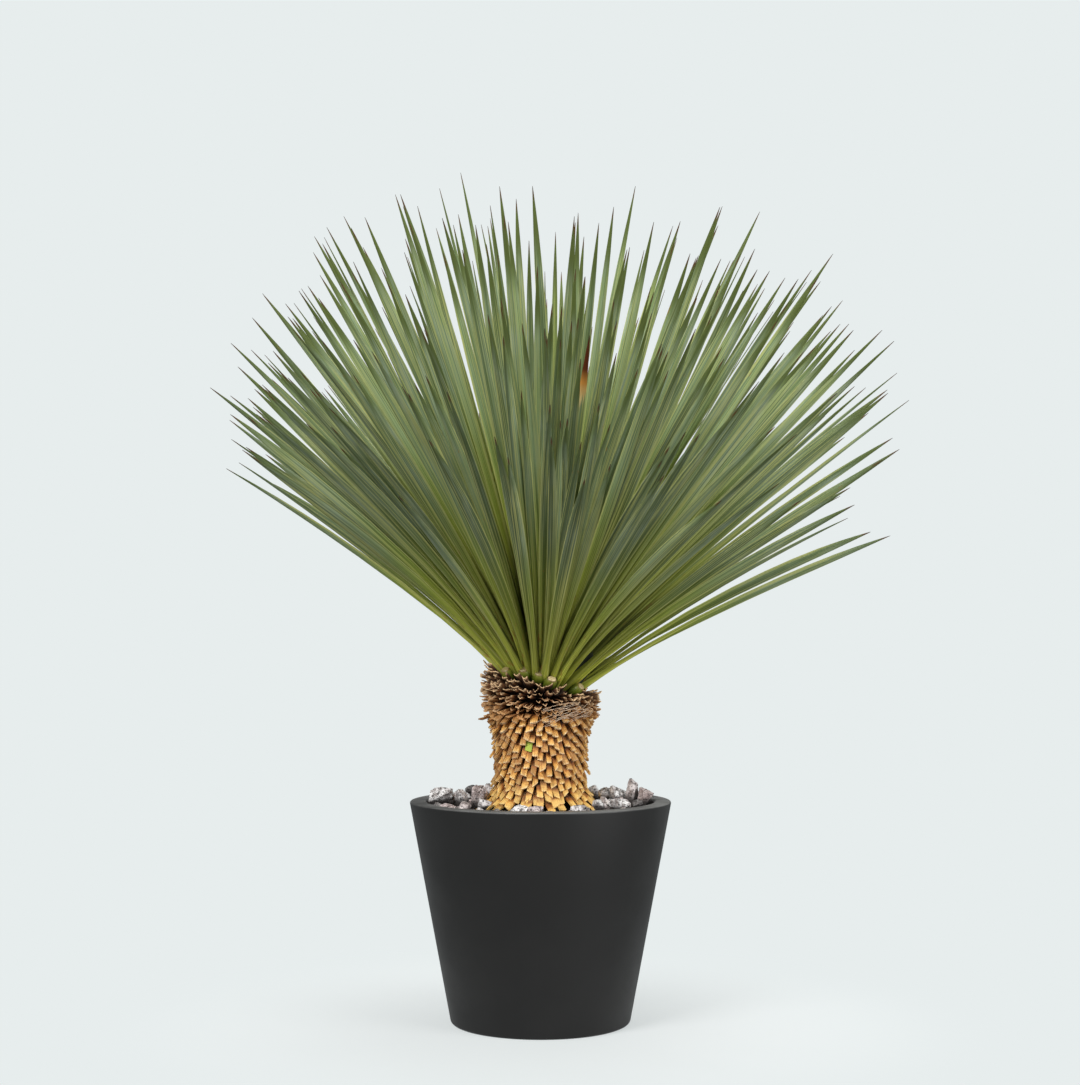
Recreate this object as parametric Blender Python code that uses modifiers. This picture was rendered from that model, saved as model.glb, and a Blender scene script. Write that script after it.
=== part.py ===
"""A beaked yucca in a tapered planter, at its real size in metres, +Z up.

The origin is the centre of the planter's underside, which stands on the ground, and the front
of the plant faces -Y. The stem stands in a plain hole in the soil under a dressing of lava stones.
Old leaf bases cover it like shingles, a dark frill of dry ones closes it at the top, and the crown
of sword-shaped leaves grows on that, leaning a little towards +X.
"""

import math
import random

import bmesh
import bpy
from mathutils import Matrix, Vector

# Clearance between two pieces that touch
GAP = 0.0003

# Planter
RIM_RADIUS = 0.180
POT_HEIGHT = 0.302
TAPER = 0.19
RIM_WIDTH = 0.0235
RIM_DEPTH = 0.016
WALL = 0.009
FLOOR = 0.012
RIM_ROUNDING = 0.003
FOOT_ROUNDING = 0.005
TURNED_SIDES = 32

# Soil and the lava stones on it
SOIL_TOP = 0.273
BED_DEPTH = 0.014
STONE_SIZE = 0.0265
STONE_RING_RADII = (0.0930, 0.1165, 0.1390)
STONE_SPACING = 0.0315
STONE_SEED = 5

# Stem: its woody part, its flare at the soil and its foot in it
STEM_RADIUS = 0.056
STEM_TOP = 0.424
FOOT_DEPTH = 0.110
HOLE_CLEARANCE = 0.0006
FLARE = 0.012
FLARE_HEIGHT = 0.060

# Old leaf bases on the stem, in staggered rows: the first and the last rows stand out further
SHINGLE_ROWS = 8
SHINGLE_COLUMNS = 19
SHINGLE_WIDTH = 0.0150
SHINGLE_LENGTH = 0.0225
SHINGLE_THICKNESS = 0.0028
SHINGLE_ROOT = 0.0035
SHINGLE_SPLAY = 24
TOP_SPLAY = 16
FOOT_SPLAY = 28
END_SHARE = 0.3
SHINGLE_SEED = 11

# Frill of dry leaf bases under the crown
FRILL_RADIUS = 0.050
FRILL_SIDES = 24
FRILL_ROWS = 4
FRILL_PER_ROW = 19
FRILL_REACH = 0.029
FRILL_RISE = (-5, 20)
FRILL_PLATE = (0.0160, 0.0026)
FRILL_MARGINS = (0.006, 0.007)
FRILL_SEED = 17

# Crown: the tilted seat on the frill, the lean of the leaves, and the dome that they grow from
SEAT_HEIGHT = 0.461
SEAT_TILT = math.radians(12.5)
CROWN_LEAN = math.radians(5.5)
SEAT_RADIUS = 0.046
SEAT_SLOPE = math.radians(8)
SEAT_CUTTER = (0.16, 0.15)
DOME_RADIUS = 0.046
DOME_RISE = 0.076
DOME_FOOT = 0.006
CORE_PROFILE = ((0, 0.132), (0.045, 0.118), (0.068, 0.088), (0.073, 0.052), (0.064, 0.024), (0.047, 0))
CORE_SIDES = 16

# Leaves, in a golden-angle spiral from the oldest, which lie lowest, to the upright heart
LEAF_COUNT = 340
GOLDEN_ANGLE = math.radians(137.508)
WIDEST_POLAR = math.radians(60)
REACH = 0.690
REACH_CENTRE = 0.022
HEART_SHARE = 0.07
ARCH = 3
OLD_ARCH = 9
LEAF_WIDTH = 0.0142
LEAF_KEEL = 0.0019
WIDEST_SHARE = 0.78
NECK_WIDTH = 0.0082
NECK_KEEL = 0.0040
ROOT_DEPTH = 0.014
LEAF_SEED = 7

# The older leaves on the side that the crown leans to are few: one in three of them has grown
SPARSE_AGE = 0.66
SPARSE_AZIMUTH = math.radians(50)
SPARSE_STEP = 3

# Green stubs of leaves that were cut short at the front: azimuth in degrees and height over the seat
CUT_STUBS = ((-140, 0.001), (-115, 0.007), (-95, 0.007), (-79, 0.003), (-36, 0.001))
STUB_TILT = math.radians(48)
STUB_LENGTH = 0.030
STUB_RADIUS_AT_SEAT = 0.050
STUB_RADII = (0.0088, 0.0056)


def clear_scene():
    for thing in list(bpy.data.objects):
        bpy.data.objects.remove(thing, do_unlink=True)


def new_collection(name):
    made = bpy.data.collections.new(name)
    bpy.context.scene.collection.children.link(made)
    return made


def new_material(name, colour, roughness):
    made = bpy.data.materials.new(name)
    made.use_nodes = True
    shader = made.node_tree.nodes["Principled BSDF"]
    shader.inputs["Base Color"].default_value = (*colour, 1)
    shader.inputs["Roughness"].default_value = roughness
    shader.inputs["Metallic"].default_value = 0
    return made


def new_object(name, shape, collection, material=None):
    """Turns a bmesh into an object and frees the bmesh."""
    mesh = bpy.data.meshes.new(name)
    shape.to_mesh(mesh)
    shape.free()
    if material:
        mesh.materials.append(material)
    made = bpy.data.objects.new(name, mesh)
    collection.objects.link(made)
    return made


def apply_modifiers(thing):
    graph = bpy.context.evaluated_depsgraph_get()
    mesh = bpy.data.meshes.new_from_object(thing.evaluated_get(graph))
    thing.modifiers.clear()
    thing.data = mesh


def fillet(centre, radius, start, end, parts):
    """Points of an arc in the (radius, height) plane, with angles in degrees."""
    angles = [math.radians(start + (end - start) * n / parts) for n in range(parts + 1)]
    return [(centre[0] + radius * math.cos(a), centre[1] + radius * math.sin(a)) for a in angles]


def turned(name, profile, sides, collection, material=None):
    """Spins a profile of (radius, height) points about +Z. It runs down its outer side.

    A ring's profile ends at the point where it starts.
    """
    shape = bmesh.new()
    closed = profile[0] == profile[-1]
    points = [shape.verts.new((r, 0, height)) for r, height in profile[: -1 if closed else None]]
    if closed:
        points.append(points[0])
    for first, second in zip(points, points[1:]):
        shape.edges.new((first, second))
    made = new_object(name, shape, collection, material)
    screw = made.modifiers.new("Screw", "SCREW")
    screw.steps = screw.render_steps = sides
    screw.use_merge_vertices = True
    screw.merge_threshold = 0.0001
    return made


def fuse(core, repeats):
    """Joins every object of the collection to the core, and removes them."""
    union = core.modifiers.new("Union", "BOOLEAN")
    union.operation = "UNION"
    union.solver = "MANIFOLD"
    union.operand_type = "COLLECTION"
    union.collection = repeats
    apply_modifiers(core)
    for thing in list(repeats.objects):
        bpy.data.objects.remove(thing, do_unlink=True)
    bpy.data.collections.remove(repeats)


def wall_radius(height):
    """Outer radius of the planter's wall at this height."""
    return RIM_RADIUS - TAPER * (POT_HEIGHT - height)


def make_planter(collection, material):
    slope = math.degrees(math.atan(TAPER))
    rim_inside = RIM_RADIUS - RIM_WIDTH
    under_rim = POT_HEIGHT - RIM_DEPTH
    wall_start = under_rim - (RIM_WIDTH - WALL)
    rim_edge = (RIM_RADIUS - RIM_ROUNDING, POT_HEIGHT - RIM_ROUNDING)
    foot_edge = (wall_radius(FOOT_ROUNDING) - FOOT_ROUNDING * 1.02, FOOT_ROUNDING)
    profile = [
        (0, FLOOR),
        (wall_radius(FLOOR) - WALL, FLOOR),
        (wall_radius(wall_start) - WALL, wall_start),
        (rim_inside, under_rim),
        (rim_inside, POT_HEIGHT - RIM_ROUNDING),
        (rim_inside + RIM_ROUNDING, POT_HEIGHT),
        *fillet(rim_edge, RIM_ROUNDING, 90, -slope, 2),
        *fillet(foot_edge, FOOT_ROUNDING, -slope, -90, 2),
        (0, 0),
    ]
    return turned("planter", profile, TURNED_SIDES, collection, material)


def stem_radius(height):
    """Radius of the stem's wood, which flares towards the soil and tapers below it."""
    above_soil = height - SOIL_TOP
    if above_soil < 0:
        buried = min(-above_soil / FOOT_DEPTH, 1)
        return (STEM_RADIUS + FLARE) * (1 - 0.35 * buried**2)
    return STEM_RADIUS + FLARE * max(1 - above_soil / FLARE_HEIGHT, 0) ** 2


def stem_profile():
    """The stem's outline from its top to its buried foot."""
    low = SOIL_TOP - FOOT_DEPTH
    heights = (STEM_TOP, SOIL_TOP + FLARE_HEIGHT, SOIL_TOP + 0.015, SOIL_TOP, low + 0.045, low)
    return [(stem_radius(height), height) for height in heights]


def make_soil(collection, material):
    """Soil that fills the planter, with a plain hole for the foot of the stem."""
    foot = SOIL_TOP - FOOT_DEPTH
    hole = [(r + HOLE_CLEARANCE, h) for r, h in stem_profile() if foot < h < SOIL_TOP]
    under_rim = POT_HEIGHT - RIM_DEPTH - (RIM_WIDTH - WALL)
    profile = [
        (0, foot - GAP),
        (stem_radius(foot) + HOLE_CLEARANCE, foot - GAP),
        *hole,
        (stem_radius(SOIL_TOP) + HOLE_CLEARANCE, SOIL_TOP),
        (wall_radius(under_rim) - WALL - 2 * GAP - (SOIL_TOP - under_rim), SOIL_TOP),
        (wall_radius(under_rim) - WALL - 2 * GAP, under_rim - GAP),
        (wall_radius(FLOOR) - WALL - GAP, FLOOR + GAP),
        (0, FLOOR + GAP),
    ]
    return turned("soil", profile, TURNED_SIDES, collection, material)


def make_stone(number, place, draw, collection):
    """A rough lava stone whose lowest point is at place: a lump squashed, turned and roughened."""
    shape = bmesh.new()
    bmesh.ops.create_icosphere(shape, subdivisions=1, radius=STONE_SIZE / 2)
    size = Vector((draw.uniform(0.95, 1.2), draw.uniform(0.85, 1.05), draw.uniform(0.85, 1.1)))
    for corner in shape.verts:
        corner.co *= draw.uniform(0.84, 1.08)
    tilt = Matrix.Rotation(draw.uniform(-0.5, 0.5), 4, "X")
    turn = Matrix.Rotation(draw.uniform(0, math.tau), 4, "Z") @ tilt
    bmesh.ops.transform(shape, matrix=turn @ Matrix.Diagonal((*size, 1)), verts=shape.verts)
    lowest = min(corner.co.z for corner in shape.verts)
    bmesh.ops.translate(shape, vec=place - Vector((0, 0, lowest)), verts=shape.verts)
    return new_object(f"stone_{number}", shape, collection)


def make_stones(collection, material):
    """The dressing of lava stones: three rings of them, sunk in a thin bed of grit on the soil."""
    draw = random.Random(STONE_SEED)
    low = SOIL_TOP + GAP
    high = low + BED_DEPTH
    hole = STEM_RADIUS + FLARE + HOLE_CLEARANCE
    outside = RIM_RADIUS - RIM_WIDTH - 2 * GAP
    profile = [(hole, low), (hole, high), (outside, high), (outside, low), (hole, low)]
    bed = turned("lava_stones", profile, TURNED_SIDES, collection, material)
    stones = new_collection("stones")
    number = 0
    for ring, radius in enumerate(STONE_RING_RADII):
        count = int(math.tau * radius / STONE_SPACING)
        for n in range(count):
            angle = math.tau * (n + 0.5 * ring + draw.uniform(-0.12, 0.12)) / count
            distance = radius - draw.uniform(0, 0.002)
            seat = high - draw.uniform(0.005, 0.008)
            place = Vector((distance * math.cos(angle), distance * math.sin(angle), seat))
            make_stone(number, place, draw, stones)
            number += 1
    fuse(bed, stones)
    return bed


def slab(name, root, along, across, length, width, thickness, taper, collection):
    """A flat plate that starts at root and runs along; its far end is taper times as wide."""
    shape = bmesh.new()
    bmesh.ops.create_cube(shape, size=1)
    bmesh.ops.translate(shape, vec=(0.5, 0, 0), verts=shape.verts)
    for corner in shape.verts:
        if corner.co.x > 0.5:
            corner.co.y *= taper
    bmesh.ops.scale(shape, vec=(length, width, thickness), verts=shape.verts)
    along, across = along.normalized(), across.normalized()
    axes = Matrix((along, across, along.cross(across))).transposed().to_4x4()
    bmesh.ops.transform(shape, matrix=Matrix.Translation(root) @ axes, verts=shape.verts)
    return new_object(name, shape, collection)


def outward(azimuth):
    return Vector((math.cos(azimuth), math.sin(azimuth), 0))


def sideways(azimuth):
    return Vector((-math.sin(azimuth), math.cos(azimuth), 0))


def make_stem(collection, material):
    """The woody stem, covered with the square-cut bases of its old leaves, which hang down."""
    draw = random.Random(SHINGLE_SEED)
    profile = [(0, STEM_TOP), *stem_profile(), (0, SOIL_TOP - FOOT_DEPTH)]
    stem = turned("stem", profile, TURNED_SIDES, collection, material)
    shingles = new_collection("shingles")
    first = STEM_TOP - SHINGLE_ROOT
    last = SOIL_TOP + BED_DEPTH + SHINGLE_LENGTH
    for row in range(SHINGLE_ROWS):
        share = row / (SHINGLE_ROWS - 1)
        height = first + (last - first) * share
        at_top, at_foot = max(1 - share / END_SHARE, 0), max(1 - (1 - share) / END_SHARE, 0)
        for n in range(SHINGLE_COLUMNS):
            azimuth = math.tau * (n + 0.5 * (row % 2) + draw.uniform(-0.08, 0.08)) / SHINGLE_COLUMNS
            splay = SHINGLE_SPLAY + TOP_SPLAY * at_top + FOOT_SPLAY * at_foot + draw.uniform(-4, 4)
            splay = math.radians(splay)
            down = Vector((0, 0, -math.cos(splay))) + outward(azimuth) * math.sin(splay)
            down += sideways(azimuth) * draw.uniform(-0.12, 0.12)
            root = outward(azimuth) * (stem_radius(height) - SHINGLE_ROOT)
            root.z = height
            length = SHINGLE_LENGTH * draw.uniform(0.88, 1)
            slab(
                f"shingle_{row}_{n}", root, down, sideways(azimuth), length,
                SHINGLE_WIDTH, SHINGLE_THICKNESS, 0.9, shingles,
            )
    fuse(stem, shingles)
    return stem


def seat_frame():
    """Places something made about +Z from its seat upwards on the tilted seat of the crown."""
    return Matrix.Translation((0, 0, SEAT_HEIGHT)) @ Matrix.Rotation(SEAT_TILT, 4, "Y")


def cut_at_seat(thing, keep_above):
    """Cuts a piece at the crown's seat, a plane that turns up like a saucer outside the frill."""
    outer, height = SEAT_CUTTER
    rise = (outer - SEAT_RADIUS) * math.tan(SEAT_SLOPE)
    if keep_above:
        profile = [(0, 0), (SEAT_RADIUS, 0), (outer, rise), (outer, -height), (0, -height)]
    else:
        saucer = [(outer, rise - GAP), (SEAT_RADIUS, -GAP), (0, -GAP)]
        profile = [(0, height), (outer, height), *saucer]
    cutter = turned("seat_cutter", profile, FRILL_SIDES, bpy.context.scene.collection)
    apply_modifiers(cutter)
    cutter.data.transform(seat_frame())
    cut = thing.modifiers.new("Cut", "BOOLEAN")
    cut.operation = "DIFFERENCE"
    cut.solver = "MANIFOLD"
    cut.object = cutter
    apply_modifiers(thing)
    bpy.data.objects.remove(cutter, do_unlink=True)


def make_frill(collection, material):
    """The dark frill: dry leaf bases cut short, which stand out from the stem and rise to the top."""
    draw = random.Random(FRILL_SEED)
    low = STEM_TOP + GAP
    top = SEAT_HEIGHT + FRILL_RADIUS * math.tan(SEAT_TILT)
    profile = [(0, top), (FRILL_RADIUS, top), (FRILL_RADIUS, low), (0, low)]
    frill = turned("frill", profile, FRILL_SIDES, collection, material)
    plates = new_collection("plates")
    first_row, last_row = low + FRILL_MARGINS[0], SEAT_HEIGHT - FRILL_MARGINS[1]
    width, thickness = FRILL_PLATE
    for row in range(FRILL_ROWS):
        share = row / (FRILL_ROWS - 1)
        for n in range(FRILL_PER_ROW):
            azimuth = math.tau * (n + 0.5 * (row % 2) + draw.uniform(-0.2, 0.2)) / FRILL_PER_ROW
            tilt = math.tan(SEAT_TILT) * share * FRILL_RADIUS * math.cos(azimuth)
            low_rise, high_rise = FRILL_RISE
            rise = math.radians(low_rise + (high_rise - low_rise) * share + draw.uniform(-5, 5))
            rise -= SEAT_TILT * share * math.cos(azimuth)
            root = outward(azimuth) * (FRILL_RADIUS - 0.008)
            root.z = first_row + (last_row - first_row) * share - tilt + draw.uniform(-0.001, 0.001)
            along = outward(azimuth) * math.cos(rise) + Vector((0, 0, math.sin(rise)))
            along += sideways(azimuth) * draw.uniform(-0.15, 0.15)
            across = sideways(azimuth) + Vector((0, 0, draw.uniform(-0.18, 0.18)))
            across -= along * (across.dot(along) / along.length_squared)
            reach = FRILL_REACH * draw.uniform(0.85, 1.2) * (1 + 0.25 * share)
            slab(f"plate_{row}_{n}", root, along, across, reach, width, thickness, 0.72, plates)
    fuse(frill, plates)
    cut_at_seat(frill, keep_above=False)
    return frill


def leaf_reach(polar):
    """How far from the crown's centre a leaf at this polar angle ends, at most."""
    return REACH * (1 - 0.2 * max(polar / math.radians(30) - 1, 0) ** 2)


def leaf_line(number, draw):
    """Draws a leaf: its centreline as a function of the share along it, side, twist, width, length."""
    age = 1 - (number + 0.5) / LEAF_COUNT
    polar = math.acos(1 - (1 - math.cos(WIDEST_POLAR)) * age)
    azimuth = number * GOLDEN_ANGLE + draw.uniform(-0.05, 0.05)
    polar += math.radians(draw.uniform(-1.5, 1.5))
    heart = max(1 - age / HEART_SHARE, 0)
    reach = leaf_reach(polar) * draw.uniform(0.86, 1) * (1 - 0.3 * min(2 * heart, 1))
    height_angle = math.sqrt(age) * math.pi / 2
    root = outward(azimuth) * DOME_RADIUS * math.sin(height_angle)
    root.z = DOME_RISE * math.cos(height_angle) + DOME_FOOT
    arch = math.radians(ARCH + OLD_ARCH * age**2 + draw.uniform(-2.5, 3))
    sway = math.radians(draw.uniform(-5, 5))
    length = reach - (root - Vector((0, 0, REACH_CENTRE))).length
    root = seat_frame() @ root
    start = polar - arch / 2
    lean = Matrix.Rotation(CROWN_LEAN, 3, "Y")
    away, side = lean @ outward(azimuth), lean @ sideways(azimuth)
    up = away.cross(side)

    def place(share):
        """Point of the centreline: an arc in the leaf's upright plane that sways a little sideways."""
        bend = start + arch * share
        run = (math.cos(start) - math.cos(bend)) / arch
        climb = (math.sin(bend) - math.sin(start)) / arch
        return root + (away * run + up * climb + side * (sway * share**2 / 2)) * length

    twist = math.radians(draw.uniform(-38, 38))
    width = LEAF_WIDTH * draw.uniform(0.88, 1.08) * (0.8 if heart else 1)
    return place, side, twist, width, length


def has_grown(number):
    """False for most of the older leaves on the +X side, where the crown is sparse."""
    age = 1 - (number + 0.5) / LEAF_COUNT
    azimuth = math.remainder(number * GOLDEN_ANGLE, math.tau)
    sparse = age > SPARSE_AGE and abs(azimuth) < SPARSE_AZIMUTH
    return not sparse or number % SPARSE_STEP == 0


def make_leaf(number, line, collection):
    """A sword-shaped leaf: three-cornered sections, flat above and keeled below, ending in a point."""
    place, flat, twist, width, length = line
    stations = ((-ROOT_DEPTH / length, NECK_WIDTH, NECK_KEEL), (WIDEST_SHARE, width, LEAF_KEEL))
    shape = bmesh.new()
    rings = []
    for share, wide, keel in stations:
        ahead = (place(share + 0.01) - place(share)).normalized()
        side = Matrix.Rotation(twist * max(share, 0), 3, ahead) @ flat
        side = (side - ahead * side.dot(ahead)).normalized()
        below = side.cross(ahead) * keel
        centre = place(share)
        corners = (centre + side * wide / 2, centre - side * wide / 2, centre + below)
        rings.append([shape.verts.new(corner) for corner in corners])
    tip = shape.verts.new(place(1))
    shape.faces.new(rings[0])
    for lower, upper in zip(rings, rings[1:]):
        for n in range(3):
            after = (n + 1) % 3
            shape.faces.new((lower[n], lower[after], upper[after], upper[n]))
    for n in range(3):
        shape.faces.new((rings[-1][n], rings[-1][(n + 1) % 3], tip))
    bmesh.ops.triangulate(shape, faces=shape.faces)
    bmesh.ops.recalc_face_normals(shape, faces=shape.faces)
    return new_object(f"leaf_{number}", shape, collection)


def make_cut_stub(number, azimuth, height, frame, collection):
    """The green base of a leaf that was cut off just above the frill."""
    shape = bmesh.new()
    wide, narrow = STUB_RADII
    bmesh.ops.create_cone(
        shape, cap_ends=True, segments=7, radius1=wide, radius2=narrow, depth=STUB_LENGTH
    )
    angle = math.radians(azimuth)
    tilt = Matrix.Rotation(angle, 4, "Z") @ Matrix.Rotation(STUB_TILT, 4, "Y")
    seat = Matrix.Translation(outward(angle) * STUB_RADIUS_AT_SEAT + Vector((0, 0, height)))
    bmesh.ops.transform(shape, matrix=frame @ seat @ tilt, verts=shape.verts)
    return new_object(f"cut_stub_{number}", shape, collection)


def make_crown(collection, material):
    """The crown: a core that the leaves stand out of, the leaves, and the cut green stubs."""
    draw = random.Random(LEAF_SEED)
    frame = seat_frame()
    crown = turned("leaf_crown", [*CORE_PROFILE, (0, 0)], CORE_SIDES, collection, material)
    apply_modifiers(crown)
    crown.data.transform(frame)
    leaves = new_collection("leaves")
    for number in range(LEAF_COUNT):
        line = leaf_line(number, draw)
        if has_grown(number):
            make_leaf(number, line, leaves)
    for number, (azimuth, height) in enumerate(CUT_STUBS):
        make_cut_stub(number, azimuth, height, frame, leaves)
    fuse(crown, leaves)
    cut_at_seat(crown, keep_above=True)
    return crown


def main():
    clear_scene()
    plant = new_collection("potted_beaked_yucca")
    make_planter(plant, new_material("planter_black", (0.028, 0.028, 0.028), 0.45))
    make_soil(plant, new_material("soil_brown", (0.045, 0.030, 0.020), 0.95))
    make_stones(plant, new_material("lava_grey", (0.34, 0.32, 0.31), 0.9))
    make_stem(plant, new_material("leaf_base_tan", (0.55, 0.33, 0.12), 0.8))
    make_frill(plant, new_material("dry_brown", (0.075, 0.045, 0.025), 0.85))
    make_crown(plant, new_material("leaf_green", (0.17, 0.23, 0.12), 0.5))


main()
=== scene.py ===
# %% [markdown]
# A beaked yucca in a planter: a round crown of stiff, sword-shaped leaves, a dark frill of dry leaf bases
# under it, a short stem covered with cut, tan leaf bases, grey lava stones on the soil, and a plain
# tapered planter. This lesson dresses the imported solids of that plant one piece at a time. It starts by
# loading them, and by keeping the size of their box.

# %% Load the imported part
import random
from math import acos, atan2, cos, hypot, pi, radians, remainder, sin, sqrt, tan, tau

import bmesh
import bpy
import numpy as np
from mathutils import Matrix, Vector, noise


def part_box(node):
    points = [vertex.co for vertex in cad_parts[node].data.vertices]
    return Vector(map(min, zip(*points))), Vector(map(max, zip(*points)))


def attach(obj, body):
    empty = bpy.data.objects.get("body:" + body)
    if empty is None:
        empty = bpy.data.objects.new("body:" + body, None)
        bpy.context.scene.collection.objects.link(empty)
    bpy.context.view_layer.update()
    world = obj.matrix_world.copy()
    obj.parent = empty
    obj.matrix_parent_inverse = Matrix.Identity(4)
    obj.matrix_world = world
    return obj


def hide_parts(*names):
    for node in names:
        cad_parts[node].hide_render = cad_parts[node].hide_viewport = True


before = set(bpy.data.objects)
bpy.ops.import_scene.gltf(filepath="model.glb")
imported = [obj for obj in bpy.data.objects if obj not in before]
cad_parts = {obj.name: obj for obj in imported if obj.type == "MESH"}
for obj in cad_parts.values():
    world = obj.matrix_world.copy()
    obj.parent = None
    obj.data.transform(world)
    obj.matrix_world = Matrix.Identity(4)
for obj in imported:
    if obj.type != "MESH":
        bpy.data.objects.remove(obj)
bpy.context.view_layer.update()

# %% [markdown]
# Modelling by operators works like modelling by hand: an operator acts on all that is selected. So each
# edit starts with nothing selected, and the edges that it needs are then picked by a test on their place.

# %% Helpers for modelling by operators
def deselect_all():
    """Goes back to object mode with nothing selected."""
    if bpy.context.mode != "OBJECT":
        bpy.ops.object.mode_set(mode="OBJECT")
    bpy.ops.object.select_all(action="DESELECT")


def take_up(piece):
    deselect_all()
    bpy.context.view_layer.objects.active = piece
    piece.select_set(True)


def open_for_edit(piece, component="FACE", action="DESELECT"):
    take_up(piece)
    bpy.ops.object.mode_set(mode="EDIT")
    bpy.ops.mesh.select_mode(type=component)
    bpy.ops.mesh.select_all(action=action)


def pick(piece, test):
    """Selects the edges of which both ends pass the test."""
    shape = bmesh.from_edit_mesh(piece.data)
    for edge in shape.edges:
        if all(test(corner.co) for corner in edge.verts):
            edge.select_set(True)
    shape.select_flush_mode()
    bmesh.update_edit_mesh(piece.data)


def cut(point, direction, **options):
    """Bisects all of the open piece by a plane."""
    bpy.ops.mesh.select_all(action="SELECT")
    bpy.ops.mesh.bisect(plane_co=point, plane_no=direction, **options)


def settle(piece):
    """Puts the piece's place, turn and scale into its mesh, so that its object sits at the origin."""
    piece.data.transform(piece.matrix_world)
    piece.matrix_world = Matrix.Identity(4)


def radius_of(point):
    return hypot(point.x, point.y)


def points_of(piece):
    points = np.empty(len(piece.data.vertices) * 3)
    piece.data.vertices.foreach_get("co", points)
    return points.reshape(-1, 3)


# %% [markdown]
# A piece that is round about the plant's axis is drawn as a potter would throw it: a flat disc is the
# underside, and its edge is extruded and resized again and again along the outline. The last ring stays
# closed by its own face, so there is no hole anywhere. A ring-shaped piece starts from an empty circle
# instead, and its last loop is bridged to its first.

# %% Helpers for turned pieces and for finishing a piece
def throw(name, outline, sides, ring=False):
    """Extrudes a disc, or for a ring a circle, along an outline of (radius, height) points."""
    radius, height = outline[0]
    deselect_all()
    bpy.ops.mesh.primitive_circle_add(
        vertices=sides, radius=radius, location=(0, 0, height), fill_type="NOTHING" if ring else "NGON"
    )
    piece = bpy.context.object
    piece.name = piece.data.name = name
    settle(piece)
    open_for_edit(piece, "EDGE" if ring else "FACE", "SELECT")
    for new_radius, new_height in outline[1:]:
        bpy.ops.mesh.extrude_region_move(TRANSFORM_OT_translate={"value": (0, 0, new_height - height)})
        scale = new_radius / radius
        bpy.ops.transform.resize(value=(scale, scale, 1), center_override=(0, 0, new_height))
        radius, height = new_radius, new_height
    if ring:
        bpy.ops.mesh.select_all(action="DESELECT")
        bpy.ops.mesh.select_non_manifold()
        bpy.ops.mesh.bridge_edge_loops()
    deselect_all()
    return piece


def finish_piece(piece, material, node, smooth=35, body="root"):
    """Turns the faces outwards, shades the piece smooth, gives it its finish and body, and hides its CAD
    node.
    """
    open_for_edit(piece, action="SELECT")
    bpy.ops.mesh.normals_make_consistent(inside=False)
    bpy.ops.object.mode_set(mode="OBJECT")
    bpy.ops.object.shade_smooth_by_angle(angle=radians(smooth))
    piece.data.materials.append(material)
    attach(piece, body)
    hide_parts(node)
    corners = points_of(piece)
    triangles = sum(len(face.vertices) - 2 for face in piece.data.polygons)
    print(piece.name, triangles, "triangles, from", corners.min(0).round(3), "to", corners.max(0).round(3))


# %% [markdown]
# Finishes are built from shader nodes. These short helpers add their nodes to the tree that is being
# worked on, which new_material sets. They blend two colours, spread colours along a value, calculate,
# paint layers over a colour, and read places and values from the piece. The last one puts the colour, the
# roughness and the bump on the shader.

# %% Helpers for materials
material = tree = None


def new_material(name):
    global material, tree
    material = bpy.data.materials.new(name)
    material.use_nodes = True
    tree = material.node_tree
    return material


def fill(node, inputs):
    """Links each input to the socket that is given for it, or writes the value on it."""
    for title, value in inputs.items():
        if isinstance(value, bpy.types.NodeSocket):
            tree.links.new(value, node.inputs[title])
        else:
            node.inputs[title].default_value = value
    return node


def add_node(kind, inputs=None, **settings):
    node = tree.nodes.new("ShaderNode" + kind)
    for setting, value in settings.items():
        setattr(node, setting, value)
    return fill(node, inputs or {})


def blend(factor, first, second, way="MIX"):
    node = add_node("Mix", data_type="RGBA", blend_type=way, clamp_factor=True)
    ends = [end if isinstance(end, bpy.types.NodeSocket) else (*end, 1) for end in (first, second)]
    return fill(node, {0: factor, 6: ends[0], 7: ends[1]}).outputs[2]


def ramp(value, *stops):
    """Colours along a value: each stop is a place on it and the three parts of a colour."""
    node = add_node("ValToRGB", {"Fac": value})
    elements = node.color_ramp.elements
    elements[0].position, elements[1].position = stops[0][0], stops[-1][0]
    for place, *_ in stops[1:-1]:
        elements.new(place)
    for element, (_, *colour) in zip(elements, stops):
        element.color = (*colour, 1)
    return node.outputs["Color"]


def calculate(operation, *values):
    return add_node("Math", dict(enumerate(values)), operation=operation).outputs[0]


def times(*values):
    product = values[0]
    for value in values[1:]:
        product = calculate("MULTIPLY", product, value)
    return product


def paint(colour, *layers):
    """Paints layers over a colour. Each is a colour, and masks that say how far it covers."""
    for layer, *masks in layers:
        colour = blend(times(*masks), colour, layer)
    return colour


def rescale(value, by, plus):
    return calculate("MULTIPLY_ADD", value, by, plus)


def fade(value, start, end):
    """0 where the value is at start, 1 where it is at end, and smooth between them."""
    inputs = {"Value": value, "From Min": start, "From Max": end}
    return add_node("MapRange", inputs, interpolation_type="SMOOTHSTEP").outputs[0]


def object_place():
    return add_node("TexCoord").outputs["Object"]


def object_height():
    return add_node("SeparateXYZ", {0: object_place()}).outputs["Z"]


def map_place(name):
    """The two coordinates of a UV map."""
    place = add_node("UVMap", uv_map=name).outputs[0]
    return add_node("SeparateXYZ", {0: place}).outputs[:2]


def read(name):
    return add_node("Attribute", attribute_name=name).outputs["Fac"]


def noise_at(x, y, z, detail):
    place = add_node("CombineXYZ", {"X": x, "Y": y, "Z": z}).outputs[0]
    return add_node("TexNoise", {"Vector": place, "Scale": 1, "Detail": detail}).outputs[0]


def clouds(scale, detail):
    return add_node("TexNoise", {"Vector": object_place(), "Scale": scale, "Detail": detail}).outputs[0]


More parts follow.
